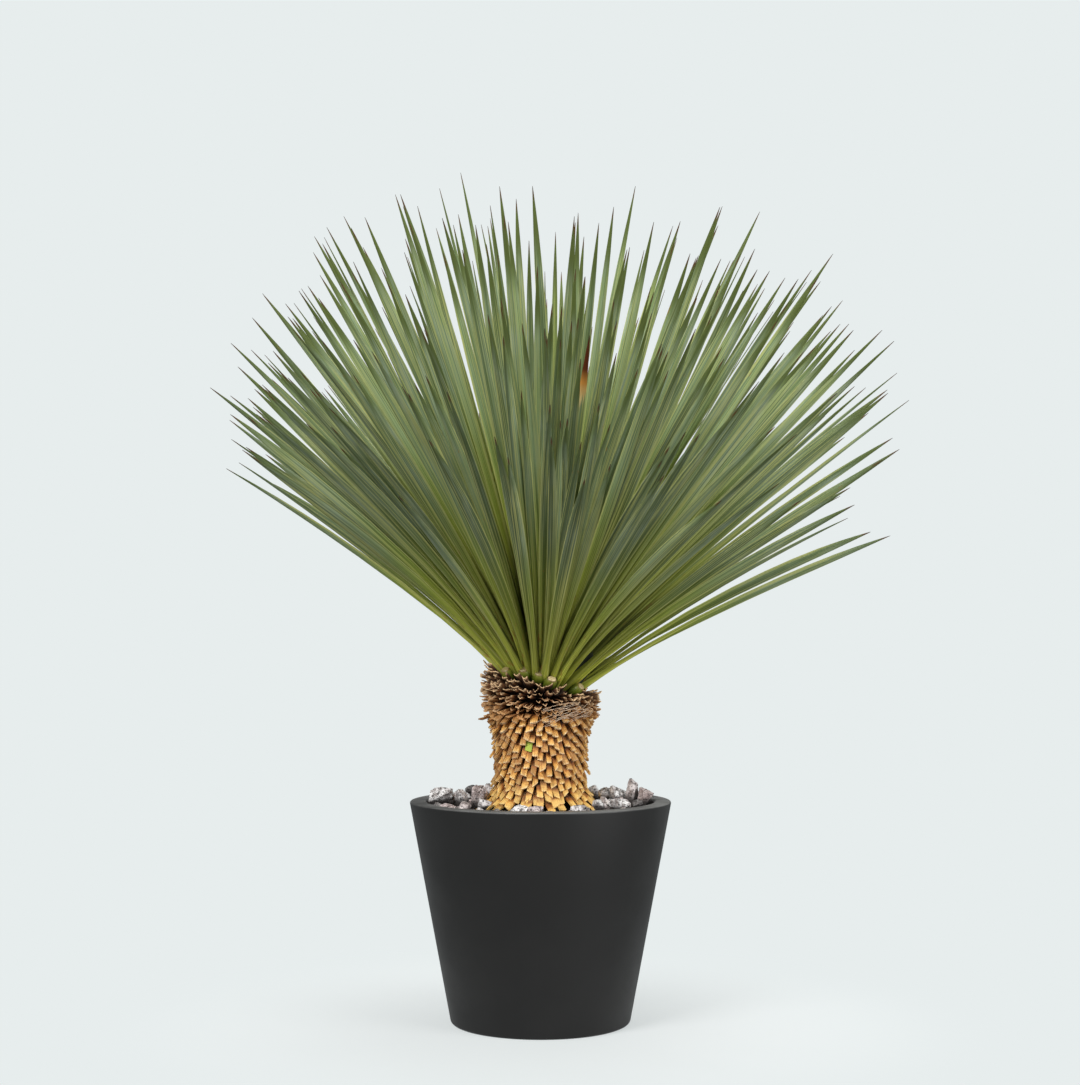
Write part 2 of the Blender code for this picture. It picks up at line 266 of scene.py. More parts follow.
def cells(scale):
    """The distance from the middle of the nearest Voronoi cell."""
    return add_node("TexVoronoi", {"Vector": object_place(), "Scale": scale}).outputs["Distance"]


def bump(height, strength, depth):
    return add_node("Bump", {"Strength": strength, "Distance": depth, "Height": height}).outputs[0]


def complete(colour, roughness, normal=None):
    inputs = {"Base Color": colour, "Roughness": roughness}
    if normal is not None:
        inputs["Normal"] = normal
    fill(tree.nodes["Principled BSDF"], inputs)
    return material


# %% [markdown]
# Two effects are used by several finishes, so each is a node group that is built once. Fibre draws fine
# lines that run along a leaf, fresh or dry, as its veins do. Mottle draws soft blotches with a fine
# grain, which soil, stone and a matt planter all have. A group gives out values only.

# %% Node groups: fibre and mottle
def new_group(name, inputs, outputs):
    global tree
    tree = bpy.data.node_groups.new(name, "ShaderNodeTree")
    for way, titles in (("INPUT", inputs), ("OUTPUT", outputs)):
        for title in titles:
            kind = "NodeSocketVector" if title == "Vector" else "NodeSocketFloat"
            tree.interface.new_socket(title, in_out=way, socket_type=kind)
    return tree.nodes.new("NodeGroupInput").outputs, tree.nodes.new("NodeGroupOutput")


FIBRE_INPUTS = ("Across", "Along", "Leaf", "Lines", "Breaks")


def build_fibre_group():
    """Takes a place across and along a leaf and a number, Leaf, that differs from leaf to leaf."""
    given, result = new_group("fibre", FIBRE_INPUTS, ("Lines", "Patches"))
    across, along = given["Across"], given["Along"]
    seed = times(given["Leaf"], 61.7)
    lines = noise_at(times(across, given["Lines"]), times(along, given["Breaks"]), seed, 3)
    patches = noise_at(times(across, 1.6), times(along, 9.0), calculate("ADD", seed, 17.0), 2)
    fill(result, {"Lines": lines, "Patches": patches})
    return tree


def build_mottle_group():
    given, result = new_group("mottle", ("Vector", "Blotch", "Grain"), ("Blotches", "Grain"))
    for title, size, detail in (("Blotches", "Blotch", 4), ("Grain", "Grain", 5)):
        inputs = {"Vector": given["Vector"], "Scale": given[size], "Detail": detail}
        fill(result, {title: add_node("TexNoise", inputs).outputs[0]})
    return tree


fibre_group, mottle_group = build_fibre_group(), build_mottle_group()


def fibre(*values):
    return add_node("Group", dict(zip(FIBRE_INPUTS, values)), node_tree=fibre_group).outputs


def mottle(blotch, grain):
    inputs = {"Vector": object_place(), "Blotch": blotch, "Grain": grain}
    return add_node("Group", inputs, node_tree=mottle_group).outputs


print("groups", fibre_group.name, mottle_group.name)

# %% [markdown]
# The camera comes before the pieces, so that each can be looked at as soon as it is made. The planter's
# rim and foot are ellipses in the photograph, and how flat they are tells how high the camera stands over
# them. It stands 2.7 m away at half the plant's height and looks up a little.

# %% Camera at the photograph's viewing angle
CAMERA_PLACE = (-0.0007, -2.71, 0.547)
CAMERA_PITCH = radians(92.33)
CAMERA_LENS = 65


def add_object(name, data):
    made = bpy.data.objects.new(name, data)
    bpy.context.scene.collection.objects.link(made)
    return made


camera = add_object("camera", bpy.data.cameras.new("camera"))
camera.data.lens = CAMERA_LENS
camera.location = CAMERA_PLACE
camera.rotation_euler = (CAMERA_PITCH, 0, 0)
bpy.context.scene.camera = camera
print("camera", CAMERA_PLACE, "lens", CAMERA_LENS)

# %% [markdown]
# The picture has a pale backdrop with no horizon. A large disc is the floor. Near the plant it is matt
# and takes the plant's soft shadow, and further out it turns into the backdrop's own light, so that no
# line shows where it ends. The world lights the plant from all round, less strongly than it shows, and
# three large soft lamps do the rest: one from the front left, one from the right, one above.

# %% Floor, backdrop and lights
BACKDROP = (0.799, 0.847, 0.847)
AMBIENT = 0.36
FLOOR_RADIUS = 40
FLOOR_COLOUR = (0.8, 0.81, 0.805)
NEAR_GLOW = 0.6
LAMP_AIM = Vector((0, 0, 0.6))
LAMPS = (
    ("key", (-2.0, -2.7, 2.6), 1.6, 126),
    ("fill", (2.6, -2.0, 1.4), 2.0, 76),
    ("top", (0.3, 0.5, 3.2), 1.8, 75),
)


def backdrop_light():
    """The backdrop's colour, at full strength for the camera and less as light on the plant."""
    seen = add_node("LightPath").outputs["Is Camera Ray"]
    strength = add_node("MapRange", {"Value": seen, "To Min": AMBIENT, "To Max": 1}).outputs[0]
    return {"Color": (*BACKDROP, 1), "Strength": strength}


world = bpy.data.worlds.new("studio")
bpy.context.scene.world = world
world.use_nodes = True
tree = world.node_tree
fill(tree.nodes["Background"], backdrop_light())

deselect_all()
bpy.ops.mesh.primitive_circle_add(vertices=96, radius=FLOOR_RADIUS, fill_type="NGON")
floor = bpy.context.object
floor.name = "floor"
floor.data.materials.append(new_material("pale floor"))
near = fill(tree.nodes["Principled BSDF"], {
    "Base Color": (*FLOOR_COLOUR, 1), "Roughness": 1, "Specular IOR Level": 0,
})
glow = add_node("Emission", backdrop_light())
distance = add_node("VectorMath", {0: object_place()}, operation="LENGTH").outputs["Value"]
far = rescale(fade(distance, 0.13, 0.62), 1 - NEAR_GLOW, NEAR_GLOW)
mix = add_node("MixShader", {0: far, 1: near.outputs[0], 2: glow.outputs[0]})
fill(tree.nodes["Material Output"], {"Surface": mix.outputs[0]})

for name, place, size, power in LAMPS:
    lamp = add_object(name, bpy.data.lights.new(name, "AREA"))
    lamp.data.size = size
    lamp.data.energy = power
    lamp.location = place
    lamp.rotation_euler = (LAMP_AIM - Vector(place)).to_track_quat("-Z", "Y").to_euler()
bpy.context.scene.view_settings.view_transform = "Standard"
print("lamps", [name for name, *_ in LAMPS])

# %% [markdown]
# The planter is one tapered pot of a cast grey-black mix, with a broad flat rim and a thinner wall below
# it. A Screw modifier could turn it, but throwing it from a disc keeps every ring even and closed. The
# edges of rim and foot are then bevelled, because a sharp edge catches no light and looks like cardboard.

# %% Planter
POT_SIDES = 192
TAPER = 0.19
RIM_WIDTH = 0.0235
RIM_DEPTH = 0.016
WALL = 0.009
FLOOR_THICKNESS = 0.012
RIM_ROUNDING = 0.003
FOOT_ROUNDING = 0.005
pot_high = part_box("planter")[1]
rim_radius, pot_height = pot_high.x, pot_high.z
rim_inside = rim_radius - RIM_WIDTH


def wall_radius(height):
    return rim_radius - TAPER * (pot_height - height)


under_rim = pot_height - RIM_DEPTH
wall_start = under_rim - (RIM_WIDTH - WALL)
planter = throw("planter_turned", [
    (wall_radius(0), 0),
    (wall_radius(pot_height / 3), pot_height / 3),
    (wall_radius(pot_height * 2 / 3), pot_height * 2 / 3),
    (rim_radius, pot_height),
    (rim_inside, pot_height),
    (rim_inside, under_rim),
    (wall_radius(wall_start) - WALL, wall_start),
    (wall_radius(FLOOR_THICKNESS) - WALL, FLOOR_THICKNESS),
], POT_SIDES)

open_for_edit(planter, "EDGE")
pick(planter, lambda p: p.z > pot_height - 1e-4 and abs(radius_of(p) - rim_radius) < 1e-4)
pick(planter, lambda p: p.z > pot_height - 1e-4 and abs(radius_of(p) - rim_inside) < 1e-4)
bpy.ops.mesh.bevel(offset=RIM_ROUNDING, segments=4)
bpy.ops.mesh.select_all(action="DESELECT")
pick(planter, lambda p: p.z < 1e-4)
bpy.ops.mesh.bevel(offset=FOOT_ROUNDING, segments=5)

# %% [markdown]
# Its finish is a matt charcoal, with a fine grain and cloudy patches that shine a little more than the
# rest. The top of the rim is rubbed rougher than the wall, so under a lamp it doesn't shine white. It is
# painted a pale grey: partly dust, and partly a painted sheen for the light that a rim seen edge on
# catches.

# %% Planter finish
def make_planter_black():
    new_material("planter black")
    blotches, grain = mottle(14, 1100)
    on_rim = fade(object_height(), pot_height - 0.0022, pot_height - 0.0004)
    charcoal = ramp(blotches, (0.3, 0.0066, 0.0063, 0.0062), (0.7, 0.0108, 0.0103, 0.0101))
    # the pale grey on the rim's top is dust and a painted sheen
    dust_and_painted_sheen = paint(charcoal, ((0.195, 0.192, 0.188), on_rim, fade(blotches, 0.15, 0.65), 0.9))
    wall = rescale(fade(blotches, 0.25, 0.8), -0.1, 0.5)
    return complete(dust_and_painted_sheen, rescale(on_rim, 0.12, wall), bump(grain, 0.25, 0.0002))


finish_piece(planter, make_planter_black(), "planter")

# %% [markdown]
# Soil fills the planter under the stones. Hardly any of it shows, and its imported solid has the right
# shape, so it stays and only gets a finish: dark, damp crumbs with paler bits of bark and pumice in them.
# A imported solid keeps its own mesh, so its crumbs are drawn by the bump alone.

# %% Soil finish
def make_soil_brown():
    new_material("soil brown")
    blotches, grain = mottle(90, 420)
    crumbs = ramp(blotches, (0.3, 0.014, 0.009, 0.006), (0.7, 0.06, 0.038, 0.024))
    bits = paint(crumbs, ((0.22, 0.19, 0.15), fade(cells(160), 0.22, 0.12)))
    return complete(bits, 0.9, bump(grain, 0.8, 0.002))


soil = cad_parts["soil"]
soil.data.materials.clear()
soil.data.materials.append(make_soil_brown())
print("soil keeps its solid and gets", soil.data.materials[0].name)

# %% [markdown]
# The stones are light lava rock, broken small: angular lumps with worn corners, full of tiny holes. A
# sphere with noise on it looks like a potato, so each blank is cut the way a stone breaks, by planes. A
# ball is bisected on ten sides with each cut filled, a Remesh modifier gives it an even skin, and two
# Displace modifiers wear its corners and pit it. Eight blanks are enough, because every copy is turned
# and stretched on its own.

# %% Stone blanks
BLANKS = 8
CUTS = 10
SKIN_DEPTH = 4
stone_draw = random.Random(31)


def random_direction(draw):
    height, angle = draw.uniform(-1, 1), draw.uniform(0, tau)
    flat = sqrt(1 - height * height)
    return Vector((flat * cos(angle), flat * sin(angle), height))


def wear(piece, kind, size, depth):
    """Displaces the piece by a built-in texture of this size."""
    texture = bpy.data.textures.new(kind.lower(), kind)
    texture.noise_scale = size
    displace = piece.modifiers.new(kind, "DISPLACE")
    displace.texture = texture
    displace.strength = depth
    displace.mid_level = 0.5


def move_points(mesh, points):
    mesh.vertices.foreach_set("co", np.asarray(points, np.float32).ravel())


def break_stone(depth):
    deselect_all()
    bpy.ops.mesh.primitive_ico_sphere_add(subdivisions=3, radius=0.5)
    blank = bpy.context.object
    open_for_edit(blank)
    for _ in range(CUTS):
        direction = random_direction(stone_draw)
        point = direction * stone_draw.uniform(0.22, 0.37)
        cut(point, direction, use_fill=True, clear_outer=True)
    take_up(blank)
    skin = blank.modifiers.new("Skin", "REMESH")
    skin.mode = "SHARP"
    skin.octree_depth = depth
    wear(blank, "CLOUDS", 0.3, 0.07)
    wear(blank, "VORONOI", 0.15, -0.07)
    for modifier in list(blank.modifiers):
        bpy.ops.object.modifier_apply(modifier=modifier.name)
    points = points_of(blank)
    move_points(blank.data, (points - points.mean(0)) / np.ptp(points, 0))
    return blank


stone_blanks = [break_stone(SKIN_DEPTH) for _ in range(BLANKS)]
print("faces of the stone blanks", [len(blank.data.polygons) for blank in stone_blanks])

# %% [markdown]
# A copy is placed by handing its points to a rule, which gives back where they go. Each copy keeps a mesh
# of its own, and the copies are then joined into one named piece. A value that differs from copy to copy,
# such as its tone, is written on the mesh as an attribute, which the finish can read.

# %% Helpers for copies
def copy_blank(blank, points, **values):
    """A copy of the blank with its points moved, and with each value written on them."""
    mesh = blank.data.copy()
    move_points(mesh, points)
    for title, value in values.items():
        attribute = mesh.attributes.new(title, "FLOAT", "POINT")
        attribute.data.foreach_set("value", np.full(len(mesh.vertices), value, np.float32))
    return add_object("copy", mesh)


def join_copies(name, copies):
    deselect_all()
    for made in copies:
        made.select_set(True)
    bpy.context.view_layer.objects.active = copies[0]
    bpy.ops.object.join()
    joined = bpy.context.object
    joined.name = joined.data.name = name
    return joined


# %% [markdown]
# The dressing lies in the planter as it was poured. Grit makes a bed on the soil, and larger stones lie
# on it in rings about the stem, each with a random size, turn and place. The ones that the photograph
# shows clearly get a place of their own: the broad one by the rim on the left, the ones beside the stem
# and the tall one on the right.

# %% Lava stones
BED_LOW, BED_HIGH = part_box("lava_stones")[0].z, 0.2873
BED_INSIDE, BED_OUTSIDE = 0.07, rim_inside - 0.0006
BED_SIDES = 160
GRIT_RINGS = ((0.08, 34), (0.092, 40), (0.104, 46), (0.116, 52), (0.128, 58), (0.14, 62), (0.149, 66))
STONE_RINGS = ((0.0885, 17), (0.107, 21), (0.1255, 25), (0.1425, 29))
SET_GROWN = 1.1
SET_STONES = (
    (-0.137, 0.0, 0.3065, (0.036, 0.03, 0.027), 0.2, 0.95),
    (-0.108, -0.02, 0.307, (0.021, 0.02, 0.024), 1.9, 0.35),
    (-0.097, 0.06, 0.3105, (0.018, 0.018, 0.015), 0.6, 0.02),
    (-0.083, -0.01, 0.307, (0.021, 0.021, 0.032), 2.7, 0.55),
    (-0.071, 0.036, 0.3105, (0.015, 0.015, 0.021), 1.4, 0.4),
    (-0.102, -0.06, 0.2985, (0.02, 0.017, 0.014), 0.9, 0.5),
    (-0.076, -0.057, 0.3015, (0.02, 0.018, 0.015), 2.2, 0.9),
    (-0.028, -0.115, 0.2985, (0.023, 0.019, 0.015), 0.1, 0.95),
    (-0.007, -0.12, 0.2985, (0.02, 0.018, 0.014), 1.0, 0.65),
    (0.052, -0.105, 0.298, (0.024, 0.019, 0.015), 2.9, 0.9),
    (0.074, 0.05, 0.3065, (0.019, 0.018, 0.024), 0.4, 0.95),
    (0.088, 0.028, 0.307, (0.017, 0.017, 0.02), 1.2, 0.92),
    (0.106, 0.018, 0.3075, (0.022, 0.02, 0.024), 2.4, 0.98),
    (0.1266, 0.01, 0.311, (0.018, 0.018, 0.038), 0.7, 0.45),
    (0.143, 0.0, 0.306, (0.023, 0.022, 0.026), 1.7, 0.58),
    (0.105, -0.045, 0.3005, (0.033, 0.022, 0.017), 3.0, 0.96),
    (0.1315, -0.03, 0.2995, (0.015, 0.015, 0.012), 0.3, 0.03),
    (0.078, -0.072, 0.302, (0.022, 0.018, 0.015), 2.0, 0.3),
)


def set_stone(blank, centre, size, turn, **values):
    """A stone at its place. Its attribute rise goes from 0 at its underside to 1 at its top."""
    points = (points_of(blank) * np.array(size)) @ np.array(turn).T + np.array(centre)
    height = points[:, 2]
    return copy_blank(blank, points, rise=(height - height.min()) / np.ptp(height), **values)


def place_stone(blank, centre, size, draw, **values):
    turn = Matrix.Rotation(draw.uniform(0, tau), 3, random_direction(draw))
    return set_stone(blank, centre, size, turn, **values)


def lie_in_rings(rings, draw, stray, sizes, drift, shrink=0):
    """Random places on the bed, each with a size and with how far it lies to the front."""
    for radius, count in rings:
        for n in range(count):
            angle = tau * (n + draw.uniform(-stray, stray)) / count
            front = max(-sin(angle), 0) ** 2
            size = np.array([draw.uniform(*sizes) for _ in range(3)]) * (1 - shrink * front)
            out = min(radius + draw.uniform(-drift, drift), BED_OUTSIDE - 0.5 * size.max())
            yield Vector((out * cos(angle), out * sin(angle), BED_HIGH)), size, front


def make_bed():
    """The grit that the stones lie in: a flat ring about the stem, with its top roughened."""
    rings = np.linspace(BED_OUTSIDE, BED_INSIDE, 24)
    outline = [(BED_OUTSIDE, BED_LOW), *((radius, BED_HIGH) for radius in rings), (BED_INSIDE, BED_LOW)]
    bed = throw("grit_bed", outline, BED_SIDES, ring=True)
    for corner in bed.data.vertices:
        inside = BED_INSIDE + 0.002 < radius_of(corner.co) < BED_OUTSIDE - 0.002
        if corner.co.z > BED_LOW + 1e-4 and inside:
            corner.co.z += 0.003 * (noise.noise(corner.co * 160) - 0.3)
    return bed


def make_grit():
    draw = random.Random(43)
    copies = []
    for centre, size, _ in lie_in_rings(GRIT_RINGS, draw, 0.4, (0.0055, 0.0105), 0.005):
        centre.z = BED_HIGH + 0.0012
        copies.append(place_stone(grit_blank, centre, size, draw))
    return join_copies("lava_grit", copies)


def make_dressing():
    draw = random.Random(47)
    copies = []
    for centre, size, front in lie_in_rings(STONE_RINGS, draw, 0.2, (0.018, 0.029), 0.004, 0.32):
        gaps = [hypot(centre.x - x, centre.y - y) - 0.5 * taken[0] for x, y, _, taken, *_ in SET_STONES]
        if min(gaps) >= 0.012:
            lifted = draw.uniform(-0.002, 0.004) * (1 - front) - 0.004 * front
            centre.z = BED_HIGH + size.min() * 0.3 + lifted
            copies.append(place_stone(draw.choice(stone_blanks), centre, size, draw, tone=draw.random()))
    for number, (*place, size, turn, tone) in enumerate(SET_STONES):
        size = np.array(size) * SET_GROWN
        turned = Matrix.Rotation(turn, 3, "Z")
        copies.append(set_stone(stone_blanks[number % BLANKS], place, size, turned, tone=tone))
    return join_copies("lava_stones_loose", copies)


grit_blank = break_stone(2)
bed, grit, dressing = make_bed(), make_grit(), make_dressing()
print("grit blank faces", len(grit_blank.data.polygons))

# %% [markdown]
# Each stone gets a grey of its own from its tone, from pale pumice to a warm pinkish grey. Blotches and
# grain break that up, and dark pits from a Voronoi texture are the gas bubbles of the lava. They go to
# the bump too, so the pits are also hollows, and their dark is painted shade. Undersides are painted dark
# as shade as well. The grit below has no tone of its own, and is painted darker, as it lies in the shade.

# %% Lava finish
def make_lava_grey(tinted):
    new_material("lava grey" if tinted else "lava grit")
    blotches, grain = mottle(120, 900)
    tone = read("tone") if tinted else clouds(220, 2)
    own = ramp(
        tone, (0.0, 0.2, 0.185, 0.18), (0.3, 0.76, 0.74, 0.73),
        (0.6, 0.62, 0.51, 0.49), (1.0, 0.96, 0.94, 0.93),
    )
    # painted shade: the grit is darkened all over
    if not tinted:
        own = blend(1, own, (0.26, 0.24, 0.235), "MULTIPLY")
    dark = blend(1, own, (0.42, 0.39, 0.38), "MULTIPLY")
    pits = calculate("MAXIMUM", fade(cells(380), 0.36, 0.2), fade(cells(150), 0.32, 0.2))
    pitted = paint(
        dark,
        # blotches, painted shade under each stone, and pits painted dark as shade
        (own, fade(blotches, 0.38, 0.58)),
        ((0.045, 0.039, 0.037), fade(read("rise"), 0.62, 0.26)),
        ((0.045, 0.039, 0.036), pits, 0.8),
    )
    return complete(pitted, 0.92, bump(rescale(pits, -0.9, grain), 0.7, 0.0012))


lava_grit = make_lava_grey(tinted=False)
finish_piece(bed, lava_grit, "lava_stones", smooth=60)
finish_piece(grit, lava_grit, "lava_stones", smooth=40)
finish_piece(dressing, make_lava_grey(tinted=True), "lava_stones", smooth=28)
for blank in (*stone_blanks, grit_blank):
    bpy.data.objects.remove(blank)

# %% [markdown]
# The stem's wood no longer shows: it is covered with the bases of old leaves, which were trimmed square.
# Behind them lies a dark core, thrown like the planter. It flares a little towards the soil, and its foot
# stands in the plain hole in the soil.

# %% Stem core
STEM_RADIUS = 0.0565
SOIL_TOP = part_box("soil")[1].z
FLARE, FLARE_HEIGHT = 0.0125, 0.058
stem_low, stem_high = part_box("stem")
STEM_TOP = stem_high.z
FOOT_DEPTH = SOIL_TOP - stem_low.z


def stem_radius(height):
    above_soil = height - SOIL_TOP
    if above_soil < 0:
        return (STEM_RADIUS + FLARE) * (1 - 0.35 * min(-above_soil / FOOT_DEPTH, 1) ** 2)
    return STEM_RADIUS + FLARE * max(1 - above_soil / FLARE_HEIGHT, 0) ** 2


heights = (stem_low.z, stem_low.z + 0.045, SOIL_TOP, *np.linspace(SOIL_TOP + 0.012, STEM_TOP, 10))
stem_core = throw("stem_core", [(stem_radius(height) - 0.001, height) for height in heights], 48)


# %% [markdown]
# One leaf base is a flat, slightly cupped strip with a square cut end. The blank is a cube, bisected
# along and across so that it can bend, with its cut end bevelled a little. Every point of it is known by
# its share along the strip (X), across it (Y) and through it (Z). A rule turns these shares into a place
# on the stem, and they are also its UV map, which the finish reads.

# %% Strip blank
def write_uv(piece, rule):
    layer = piece.data.uv_layers.new(name="strip")
    for loop in piece.data.loops:
        layer.data[loop.index].uv = rule(piece.data.vertices[loop.vertex_index].co)


def make_strip_blank(cuts_along, cuts_across, soften):
    """A unit strip: X is from its root 0 to its end 1, Y from edge to edge and Z through it."""
    deselect_all()
    bpy.ops.mesh.primitive_cube_add(size=1, location=(0.5, 0, 0))
    blank = bpy.context.object
    settle(blank)
    open_for_edit(blank, "EDGE")
    pick(blank, lambda p: p.x > 0.99)
    bpy.ops.mesh.bevel(offset=soften, segments=1)
    for share in cuts_along:
        cut((share, 0, 0), (1, 0, 0))
    for share in cuts_across:
        cut((0, share, 0), (0, 1, 0))
    deselect_all()
    write_uv(blank, lambda corner: (corner.x, corner.y + 0.5))
    return blank


stub_blank = make_strip_blank((0.35, 0.7), (0,), 0.04)
plate_blank = make_strip_blank((0.25, 0.5, 0.75), (-0.2, 0.2), 0.03)
print("strip blanks", len(stub_blank.data.polygons), len(plate_blank.data.polygons), "faces")

# %% [markdown]
# The leaf bases hang round the stem in one long spiral, from the frill down to the soil. Each is turned
# on from the last by the golden angle, as the leaves once were, so they overlap like slates on a roof.
# They lean outwards, and the ones at the sides fan out left and right. The ones by the frill and by the
# soil lean out further, because nothing presses on them.

# %% Old leaf bases on the stem
GOLDEN_ANGLE = radians(137.508)
STUBS = 440
STUB_SIZE = (0.0255, 0.0089, 0.0025)
STUB_TOP_END, STUB_LOW_END = 0.414, 0.288
STUB_SPLAY = 25
STUB_FAN = 0.24
LIME_PLACE = (radians(-106), 0.371)


def outward(azimuth):
    return Vector((cos(azimuth), sin(azimuth), 0))


def sideways(azimuth):
    return Vector((-sin(azimuth), cos(azimuth), 0))


def bend_strip(blank, root, along, across, size, cup, curl, skew, taper, wave=(0, 0, 0)):
    """Points of a strip that starts at root and runs along, cupped across and curled towards its end."""
    length, width, thickness = size
    along = along.normalized()
    across = (across - along * across.dot(along)).normalized()
    face = across.cross(along)
    x, y, z = points_of(blank).T
    run = x * length * (1 + skew * y)
    wide = y * width * (1 - taper * x)
    swing, turns, phase = wave
    rise = z * thickness + cup * width * (1 - 4 * y**2) * (0.4 + 0.6 * x) + curl * length * x**2
    rise += swing * width * x * np.sin(turns * tau * y + phase)
    return np.array(root) + np.outer(run, along) + np.outer(wide, across) + np.outer(rise, face)


def make_stubs():
    draw = random.Random(23)
    drop = STUB_LOW_END - STUB_TOP_END
    places = [(n * GOLDEN_ANGLE, STUB_TOP_END + drop * (n + 0.5) / STUBS) for n in range(STUBS)]
    lime = min(places, key=lambda p: hypot(
        0.064 * remainder(p[0] - LIME_PLACE[0], tau), p[1] - LIME_PLACE[1]
    ))
    copies = []
    for n, (azimuth, end_height) in enumerate(places):
        share = (n + 0.5) / STUBS
        top, foot = max(1 - share / 0.26, 0), max(1 - (1 - share) / 0.28, 0) ** 2
        turned = azimuth + draw.uniform(-0.03, 0.03)
        flank = foot * abs(cos(azimuth))
        splay = radians(STUB_SPLAY + 19 * top + 30 * foot + 14 * flank + draw.gauss(0, 3.5))
        grown = 1 + 0.16 * top + 0.22 * foot + 0.2 * flank
        length = STUB_SIZE[0] * grown * draw.uniform(0.94, 1.07)
        width = STUB_SIZE[1] * grown * draw.uniform(0.86, 1.12)
        height = end_height + length * cos(splay) + draw.gauss(0, 0.0009)
        root = outward(turned) * (stem_radius(min(height, STEM_TOP)) - 0.003)
        root.z = height
        along = Vector((0, 0, -cos(splay))) + outward(turned) * sin(splay)
        along += sideways(turned) * (STUB_FAN * cos(turned) + draw.gauss(0, 0.06))
        across = sideways(turned) + Vector((0, 0, draw.gauss(0, 0.05)))
        size = (length, width, STUB_SIZE[2] * draw.uniform(0.8, 1.25))
        shape = bend_strip(
            stub_blank, root, along, across, size, cup=draw.uniform(0.03, 0.11),
            curl=draw.gauss(-0.02, 0.04), skew=draw.gauss(0, 0.12), taper=draw.uniform(0.06, 0.26),
        )
        tone = -1.0 if (azimuth, end_height) == lime else draw.random()
        # partly random weathering, partly painted shade that darkens the bases on the -X side
        weathered_and_side_shade = draw.random() ** 2 + 0.35 * max(-cos(azimuth), 0)
        copies.append(copy_blank(stub_blank, shape, tone=tone, old=weathered_and_side_shade))
    return join_copies("old_leaf_bases", copies)


stubs = make_stubs()

# %% [markdown]
# A dry leaf base is the colour of straw and honey. Its upper part is painted darker, as the shade of the
# row above, the cut end is pale, and fine brown fibres run along it. Its tone moves it between amber and a
# weathered beige, bases on the -X side are painted darker as shade, and one that was cut last is still
# lime green. The core behind shows only in the gaps, so its bark is painted a plain dark mottle, as their
# shade.

# %% Dry leaf base finish
def make_leaf_base_tan():
    new_material("leaf base tan")
    along, across = map_place("strip")
    tone = read("tone")
    lines, patches = fibre(across, along, tone, 13, 1.6)
    honey = ramp(
        along, (0.0, 0.01, 0.003, 0.001), (0.34, 0.03, 0.008, 0.001), (0.52, 0.33, 0.105, 0.012),
        (0.7, 0.74, 0.35, 0.065), (0.9, 0.91, 0.54, 0.155), (0.97, 0.94, 0.68, 0.33),
        (1.0, 0.9, 0.68, 0.42),
    )
    beige = blend(0.45, honey, (0.62, 0.36, 0.15))
    # the old attribute browns weathered bases and paints shade on the -X side
    own = paint(honey, (beige, fade(tone, 0.35, 1)), ((0.32, 0.15, 0.05), fade(read("old"), 0.3, 1), 0.7))
    lined = paint(
        own,
        # fibres, brown patches, gold low on the stem, and the lime green base
        (blend(fade(lines, 0.58, 0.3), own, (0.23, 0.1, 0.03), "MULTIPLY"), 0.62),
        ((0.38, 0.12, 0.018), fade(patches, 0.5, 0.66), 0.65),
        ((1.0, 0.68, 0.2), fade(object_height(), 0.345, 0.3), fade(along, 0.55, 0.75), 0.5),
        ((0.42, 0.52, 0.06), fade(tone, -0.2, -0.6)),
    )
    return complete(lined, rescale(lines, 0.25, 0.55), bump(lines, 0.6, 0.0006))


def make_core_dark(name, sizes, dark, pale, roughness, strength):
    """A core painted dark as the shade in the gaps: blotches between two dark colours, with a grain."""
    new_material(name)
    blotches, grain = mottle(*sizes)
    colour = ramp(blotches, (0.35, *dark), (0.7, *pale))
    return complete(colour, roughness, bump(grain, strength, 0.001))


# painted near black, as the shade in the gaps between the leaf bases
shaded_bark = make_core_dark(
    "shaded bark", (130, 800), (0.01, 0.005, 0.002), (0.05, 0.022, 0.008), 0.95, 0.8
)
finish_piece(stem_core, shaded_bark, "stem")
finish_piece(stubs, make_leaf_base_tan(), "stem", smooth=45)

# %% [markdown]
# Above the stem the newest dry leaf bases haven't been trimmed flat. They stand out like the scales of a
# cone: thin, wavy and cupped, painted nearly black between as shade, with a pale torn edge. They follow
# the same spiral as the bases below. The crown sits on them with a tilt, so they tilt more and more
# towards the top.

# %% Frill of dry leaf bases
SEAT_HEIGHT = 0.461
SEAT_TILT = radians(12.5)
FRILL_CORE = 0.05
PLATES = 430
PLATE_SIZE = (0.033, 0.012, 0.0011)
frill_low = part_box("frill")[0].z


def seat_frame():
    """The tilted seat that the crown grows from: its place and its turn."""
    return Matrix.Translation((0, 0, SEAT_HEIGHT)) @ Matrix.Rotation(SEAT_TILT, 4, "Y")


def make_frill_core():
    heights = (frill_low, frill_low + 0.02, SEAT_HEIGHT)
    core = throw("frill_core", [(FRILL_CORE, height) for height in heights], 48)
    for corner in core.data.vertices:
        if corner.co.z > SEAT_HEIGHT - 1e-4:
            corner.co.z -= tan(SEAT_TILT) * corner.co.x
    return core


